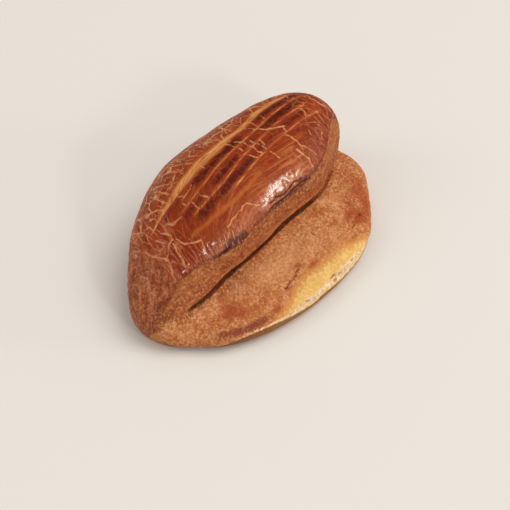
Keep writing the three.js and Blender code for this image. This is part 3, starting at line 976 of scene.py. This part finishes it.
def glaze_colour(crust):
    """Red-brown glaze, darker in streaks, paler along its scores and cracks."""
    streaks = crust.drawn_out(13, 1.3, detail=4)
    threads = crust.drawn_out(9, 0.42)
    broad = crust.drawn_out(9, 5)
    fine = crust.grain(0.9)
    strength = crust.drawn_out(4, 1).step(0.36, 0.6)
    over_roll = crust.mark("over_roll")
    along = crust.axis("X")
    middle = along.step(-36, -18) * along.step(56, 46)
    dark = (crust.mark("dark_streaks") + 1.6 * (streaks - 0.5) + 2.4 * (threads - 0.5)).step(0.15, 0.9)
    wide = crust.mark("wide_score") + 1.6 * (threads - 0.5) + 0.8 * (streaks - 0.5)
    bright = wide.step(1.3, 0.6) * threads.step(0.4, 0.56)
    amber = over_roll.step(0.67, 0.71) * along.step(-24, -8) * along.step(36, 24)
    cloudy = (broad + 0.5 * (streaks - 0.5)).step(0.44, 0.58)
    soft = (crust.mark("soft_line") + 3 * (streaks - 0.5)).step(1.4, 0.1)
    scored = crust.mark("fine_scores") + 1.8 * (threads - 0.5)
    glaze = over_roll.ramp([
        (0, (150, 84, 46)),
        (0.3, (190, 112, 74)),
        (0.42, (164, 76, 38)),
        (0.5, (158, 62, 24)),
        (0.56, (146, 50, 17)),
        (0.7, (138, 47, 15)),
        (0.77, (142, 56, 23)),
        (0.815, (160, 80, 46)),
        (0.86, (124, 52, 32)),
    ])
    glaze = crust.painted(glaze, [
        (0.6 * along.step(22, 38) * over_roll.step(0.6, 0.68), (116, 42, 20)),
        (0.6 * broad.step(0.44, 0.6), (118, 36, 13)),
        ((0.1 + 0.45 * middle) * streaks.step(0.5, 0.66), (186, 88, 32)),
        (0.4 * middle * threads.step(0.46, 0.34), (104, 30, 12)),
        (0.35 * middle * threads.step(0.53, 0.66), (202, 110, 50)),
        (0.4 * fine.step(0.46, 0.28), (104, 34, 13)),
        (0.9 * dark, (78, 18, 10)),
        (0.75 * wide.step(1.7, 0.8), (190, 106, 48)),
        (0.9 * bright, (226, 160, 94)),
        (0.25 * amber * cloudy, (188, 104, 50)),
        (0.3 * amber * streaks.step(0.5, 0.62), (204, 122, 62)),
        (0.42 * soft, (194, 110, 44)),
        (0.4 * scored.step(1, 0.2), (176, 84, 36)),
        ((0.25 + 0.7 * strength) * scored.step(0.3, 0), (218, 142, 90)),
    ])
    crack = over_roll.ramp([(0.4, (230, 170, 122)), (0.5, (220, 152, 102))])
    return crust.colour_mix(glaze_cracks(crust), glaze, crack)


def tip_colour(crust):
    """Thin glaze over the pinched left tip: grainy pinkish brown with a faint pale net."""
    grain = crust.grain(0.9, distortion=0.6)
    patchy = crust.grain(3.2, detail=4, distortion=1)
    x, y, z = (crust.axis(name) for name in "XYZ")
    gathers = crust.mottle(crust.combine((0.6 * x - 0.8 * y) / 1.5, (0.8 * x + 0.6 * y) / 7, z / 5))
    net = crust.craze(crust.place(3.4)).step(0.07, 0.02) * patchy.step(0.42, 0.56)
    tip = crust.colour_mix(patchy.step(0.4, 0.6), paint(138, 66, 38), paint(164, 88, 54))
    return crust.painted(tip, [
        (0.6 * grain.step(0.5, 0.66), (204, 140, 100)),
        (0.6 * grain.step(0.46, 0.32), (112, 48, 28)),
        (0.4 * gathers.step(0.52, 0.62), (200, 132, 90)),
        (0.5 * gathers.step(0.48, 0.38), (106, 44, 22)),
        (0.4 * net, (206, 140, 98)),
        (0.8 * crust.mark("dark_streaks"), (92, 34, 16)),
    ])


def nose_colour(crust, glaze):
    """The thick glaze along the roll's front edge: pale wrinkled skin with painted highlight, painted pale
    glints, a dark lower rim and folds painted black as shade.
    """
    comb = crust.comb()
    patchy = crust.grain(1.6)
    over_roll = crust.mark("over_roll")
    shine = crust.mark("shine")
    run_together = crust.mark("run_together")
    near_edge = over_roll.step(0.76, 0.81)
    # Pale wrinkled skin, brightened as painted highlight most where the glaze shines.
    wrinkles_and_highlight = near_edge * (0.4 * crust.axis("X").step(28, 16) + shine) * comb.step(0.46, 0.64)
    edge = (crust.mark("glaze") + 4 * (patchy - 0.5)).step(1.5, 0.3)
    rim = 0.5 * edge * over_roll.step(0.6, 0.7)
    run = (run_together + 1.4 * (patchy - 0.5) + 1.6 * (comb - 0.5)).step(0.2, 0.9)
    # Painted highlight: pale glints over the run-together glaze and where it shines.
    painted_gleam = run_together.at_least(shine) * comb.step(0.55, 0.66)
    return crust.painted(glaze, [
        (0.6 * wrinkles_and_highlight.at_most(1), (216, 154, 114)),
        (rim.at_least(0.9 * run), (82, 32, 24)),
        (0.4 * painted_gleam, (214, 166, 140)),
        # Painted shade: the folds near black.
        (0.9 * crust.mark("furrows").step(0.55, 0.2), (48, 18, 12)),
    ])


def dull_colour(crust):
    """Bare crust on the roll, under its overhang and low on its back: brown with tan specks, and painted
    light along the crease in the middle, where the overhang shades it.
    """
    specks = crust.grain(1)
    broad = crust.grain(4.5)
    over_roll = crust.mark("over_roll")
    along = crust.axis("X")
    middle = along.step(-42, -26) * along.step(34, 20)
    dull = over_roll.ramp([
        (0, (150, 88, 48)),
        (0.2, (156, 88, 46)),
        (0.8, (158, 90, 47)),
        (0.9, (146, 78, 43)),
        (0.94, (156, 84, 47)),
        (1, (160, 84, 46)),
    ])
    return crust.painted(dull, [
        # Painted light: paler along the crease in the middle, lifting the overhang's shade.
        (0.65 * middle * over_roll.step(0.94, 0.99), (218, 126, 74)),
        (0.6 * broad.step(0.5, 0.62), (134, 64, 42)),
        (0.5 * broad.step(0.47, 0.36), (176, 112, 58)),
        (0.6 * specks.step(0.5, 0.64), (198, 136, 82)),
        (0.6 * specks.step(0.47, 0.33), (118, 54, 30)),
    ])


def flap_colour(crust):
    """The flap's bare crust: leathery tan, browner in spots, with the buttery patch, and darker just under
    the crease on the left, as browning and painted shade.
    """
    specks = crust.grain(1, distortion=0.8)
    worms = crust.grain(3, detail=5, distortion=2.2)
    broad = crust.grain(7)
    down = crust.mark("down_flap")
    along = crust.axis("X")
    ends = along.step(-16, -32).at_least(along.step(20, 34))
    # Browning and painted shade: darker just under the crease, towards the left, where the roll's overhang
    # shades the flap.
    crease_browning_and_shade = down.step(0.24, 0.05) * along.step(-6, -24)
    red = crust.mark("red_spots") + 1.6 * (worms - 0.5) + 1.2 * (specks - 0.5)
    stain = crust.mark("stains") + 1.6 * (worms - 0.5) + 1.2 * (specks - 0.5)
    calm = 1 - 0.5 * crust.mark("stains").at_least(crust.mark("red_spots")).at_most(1)
    pale = crust.mark("pale_spots") * (0.4 + specks)
    yellow = crust.mark("patch") + 5 * (worms - 0.5) + 3 * (broad - 0.5)
    crack = (crust.mark("flap_crack") + 0.3 * (specks - 0.5)).step(0.6, 0.2)
    flap = down.ramp([
        (0, (164, 92, 46)),
        (0.04, (180, 108, 58)),
        (0.12, (194, 124, 72)),
        (0.3, (198, 130, 80)),
        (0.5, (197, 129, 78)),
        (0.7, (190, 120, 70)),
        (0.85, (172, 108, 62)),
        (1, (132, 76, 42)),
    ])
    return crust.painted(flap, [
        (0.4 * ends, (172, 98, 54)),
        # Browning and painted shade under the crease.
        (0.85 * crease_browning_and_shade, (116, 56, 30)),
        (0.55 * broad.step(0.5, 0.6), (176, 92, 44)),
        (0.35 * broad.step(0.47, 0.36), (220, 154, 106)),
        (0.8 * red.step(0.1, 1), (156, 68, 30)),
        (0.85 * stain.step(0.1, 0.9), (126, 54, 38)),
        (0.65 * worms.step(0.5, 0.6), (172, 90, 42)),
        (0.55 * calm * worms.step(0.46, 0.36), (226, 164, 112)),
        (0.55 * calm * specks.step(0.5, 0.64), (228, 170, 116)),
        (0.55 * specks.step(0.48, 0.34), (146, 74, 36)),
        (0.7 * pale, (220, 162, 110)),
        (0.5 * red.step(0.2, 0.9), (160, 66, 32)),
        (0.5 * stain.step(0.2, 0.9), (128, 56, 44)),
        (0.7 * yellow.step(-2.6, 0.6), (214, 148, 76)),
        (0.9 * yellow.step(0, 3), (224, 176, 96)),
        (0.5 * yellow.step(0, 2) * worms.step(0.46, 0.6), (238, 208, 142)),
        (0.85 * crust.mark("pits").step(0.25, 0.8), (112, 46, 20)),
        (0.95 * crack, (124, 46, 20)),
    ])


def rim_colour(crust, flap):
    """The torn rim under the patch: cream crumb with tan holes and a brown lower edge, darkened further by
    painted shade where the flap turns under its lip.
    """
    crumb = crust.grain(1.3)
    torn = crust.mark("rim") + 2.4 * (crumb - 0.5)
    below = crust.mark("below_rim") + (crumb - 0.5)
    cream = crumb.ramp([(0.32, (190, 146, 104)), (0.48, (222, 190, 148)), (0.66, (240, 214, 178))])
    cream = crust.painted(cream, [(crust.mark("crumb_holes").step(0.2, 0.8), (180, 130, 80))])
    # A brown lower edge, darkened by painted shade where the flap turns under its lip.
    flap = crust.painted(flap, [(0.85 * below.step(-0.3, 0.6), (122, 72, 42))])
    return crust.colour_mix(0.95 * torn.step(-0.3, 0.5), flap, cream)


def underside_colour(crust, above):
    """The flat underside: evenly browned, darker in patches where it lay hottest."""
    broad = crust.grain(9, detail=4)
    specks = crust.grain(0.8, detail=2)
    brown = crust.colour_mix(broad.step(0.38, 0.64), paint(186, 122, 70), paint(146, 82, 42))
    brown = crust.painted(brown, [(0.5 * specks.step(0.5, 0.7), (206, 150, 96))])
    return crust.colour_mix(crust.mark("underneath"), above, brown)


def crust_height(crust, glazed):
    """Fine relief in millimetres, for the Bump node."""
    specks = crust.grain(1, distortion=0.8)
    worms = crust.grain(2.4, distortion=1.6)
    leather = 0.32 * specks + 0.4 * worms
    ripple = crust.drawn_out(5, 0.9, detail=2)
    nose = crust.mark("over_roll").step(0.75, 0.8) * (0.3 + crust.mark("shine"))
    cracks = crust.mark("bold_cracks").step(0.6, 0.1)
    sheet = 0.06 * ripple + nose * 0.4 * crust.comb() - 0.08 * cracks
    return crust.node("Mix", {"data_type": "FLOAT"}, {0: glazed, 2: leather, 3: sheet})


# How rough the bare crust is, and how much less the glaze; the clear coat's least weight, what it
# gains where the glaze shines, and what it loses where the glaze is thin, at the back and in folds.
BARE_ROUGHNESS = 0.66
GLAZE_SMOOTHING = 0.14
COAT_LEAST = 0.03
COAT_SHINE = 0.95
COAT_LOSS_THIN = 0.75
COAT_LOSS_BACK = 0.7
COAT_LOSS_FOLD = 0.9
COAT_ROUGHNESS = 0.14
SPECULAR = 0.12


def crust_finish():
    """The baked crust: glaze over bare dough, each with its own colours, relief and sheen."""
    material = bpy.data.materials.new("baked_crust")
    material.use_nodes = True
    tree = material.node_tree
    crust = Crust(tree)
    glaze = nose_colour(crust, glaze_colour(crust))
    bare = crust.colour_mix(crust.mark("down_flap").step(0, 0.02), dull_colour(crust), flap_colour(crust))
    bare = underside_colour(crust, rim_colour(crust, bare))

    along = crust.axis("X")
    thin = (along + 16 * (crust.grain(3, detail=4) - 0.5)).step(-37, -48)
    glaze = crust.colour_mix(0.92 * thin, glaze, tip_colour(crust))
    # Painted shade: a dark line down the crease's slit, mostly on the flap side, fading out towards both
    # ends.
    line = crust.mark("from_crease") + 0.8 * (crust.grain(3) - 0.5)
    slit = line.step(-0.5, -0.1) * line.step(1.3, 0.1) * along.step(-50, -46) * along.step(34, 22)
    bare = crust.painted(bare, [(0.8 * slit, (62, 26, 12))])

    glazed = (crust.mark("glaze") + 3 * (crust.grain(1.5) - 0.5)).step(-0.4, 0.5)
    back = crust.mark("over_roll").step(0.5, 0.38)
    fold = crust.mark("furrows").step(0.8, 0.3)
    coat = glazed * (COAT_LEAST + COAT_SHINE * crust.mark("shine"))
    coat = coat * (1 - COAT_LOSS_THIN * thin) * (1 - COAT_LOSS_BACK * back) * (1 - COAT_LOSS_FOLD * fold)
    height = crust_height(crust, glazed)
    drawn = {
        "Base Color": crust.colour_mix(glazed, bare, glaze),
        "Roughness": BARE_ROUGHNESS - GLAZE_SMOOTHING * glazed,
        "Coat Weight": coat,
        "Normal": crust.node("Bump", None, {"Strength": 1, "Distance": MM, "Height": height}),
    }
    shader = tree.nodes["Principled BSDF"]
    for name, link in drawn.items():
        tree.links.new(link.socket, shader.inputs[name])
    shader.inputs["Coat Roughness"].default_value = COAT_ROUGHNESS
    shader.inputs["Specular IOR Level"].default_value = SPECULAR
    return material


bun = bpy.data.objects.new("bun_crust", bun_mesh())
bpy.context.scene.collection.objects.link(bun)
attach(bun, "root")
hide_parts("bun")
bun.data.materials.append(crust_finish())

# The camera stands where the photograph's did: its place, what it looks at, its tilt and lens.
EYE = Vector((-324.8, -237.8, 466.6)) * MM
AIM = Vector((-1.28, -3.11, 0)) * MM
CAMERA_TILT = math.radians(-0.69)
LENS_MM = 110.05
CAMERA_SEES = (0.01, 20)

LAMP_COLOUR = (1, 0.98, 0.95)
ROOM_COLOUR = (1, 0.98, 0.96, 1)
ROOM_LIGHT = 0.5
ROOM_MIRRORED = 0.05

# The floor lies a hair under the bun, so that the two never share a plane.
FLOOR_HALF = 2.0
FLOOR_DROP = 0.00005
FLOOR_COLOUR = (0.84, 0.795, 0.74, 1)
FLOOR_ROUGHNESS = 0.6


def set_camera():
    camera = bpy.data.objects.new("camera", bpy.data.cameras.new("camera"))
    forward = (AIM - EYE).normalized()
    level = forward.cross(Vector((0, 0, 1))).normalized()
    right = level * math.cos(CAMERA_TILT) + level.cross(forward) * math.sin(CAMERA_TILT)
    upward = right.cross(forward)
    turned = Matrix((right, upward, -forward)).transposed()
    camera.matrix_world = Matrix.Translation(EYE) @ turned.to_4x4()
    camera.data.lens = LENS_MM
    camera.data.clip_start, camera.data.clip_end = CAMERA_SEES
    bpy.context.scene.collection.objects.link(camera)
    bpy.context.scene.camera = camera


def add_softbox(name, heading, elevation, distance, size, power, mirrored=True):
    """A square lamp at a heading (clockwise from +Y) and an elevation, in degrees, facing the bun."""
    data = bpy.data.lights.new(name, "AREA")
    data.size = size
    data.energy = power
    data.color = LAMP_COLOUR
    lamp = bpy.data.objects.new(name, data)
    a, e = math.radians(heading), math.radians(elevation)
    away = Vector((math.sin(a) * math.cos(e), math.cos(a) * math.cos(e), math.sin(e)))
    lamp.location = away * distance
    lamp.rotation_mode = "QUATERNION"
    lamp.rotation_quaternion = away.to_track_quat("Z", "Y")
    lamp.visible_glossy = mirrored
    bpy.context.scene.collection.objects.link(lamp)


def set_light():
    """A broad ceiling light, windows that the glaze mirrors, and a soft pale room."""
    add_softbox("ceiling", heading=135, elevation=62, distance=3, size=2.2, power=41, mirrored=False)
    add_softbox("back_window", heading=318, elevation=38, distance=3, size=1.4, power=11)
    add_softbox("window", heading=150, elevation=6, distance=3, size=0.8, power=30)
    add_softbox("side_window", heading=197, elevation=30, distance=3, size=0.35, power=12)
    world = bpy.data.worlds.new("studio")
    world.use_nodes = True
    backdrop = world.node_tree.nodes["Background"]
    backdrop.inputs["Color"].default_value = ROOM_COLOUR
    room = Link(world.node_tree)
    mirrored = room.node("LightPath", output="Is Glossy Ray")
    strength = ROOM_LIGHT - (ROOM_LIGHT - ROOM_MIRRORED) * mirrored
    world.node_tree.links.new(strength.socket, backdrop.inputs["Strength"])
    bpy.context.scene.world = world
    bpy.context.scene.view_settings.view_transform = "Standard"


def add_floor():
    mesh = bpy.data.meshes.new("floor")
    corners = [(-FLOOR_HALF, -FLOOR_HALF, 0), (FLOOR_HALF, -FLOOR_HALF, 0)]
    corners += [(FLOOR_HALF, FLOOR_HALF, 0), (-FLOOR_HALF, FLOOR_HALF, 0)]
    mesh.from_pydata(corners, [], [(0, 1, 2, 3)])
    floor = bpy.data.objects.new("floor", mesh)
    floor.location.z = -FLOOR_DROP
    material = bpy.data.materials.new("pale_floor")
    material.use_nodes = True
    shader = material.node_tree.nodes["Principled BSDF"]
    shader.inputs["Base Color"].default_value = FLOOR_COLOUR
    shader.inputs["Roughness"].default_value = FLOOR_ROUGHNESS
    mesh.materials.append(material)
    bpy.context.scene.collection.objects.link(floor)


set_camera()
set_light()
add_floor()

bpy.context.view_layer.update()
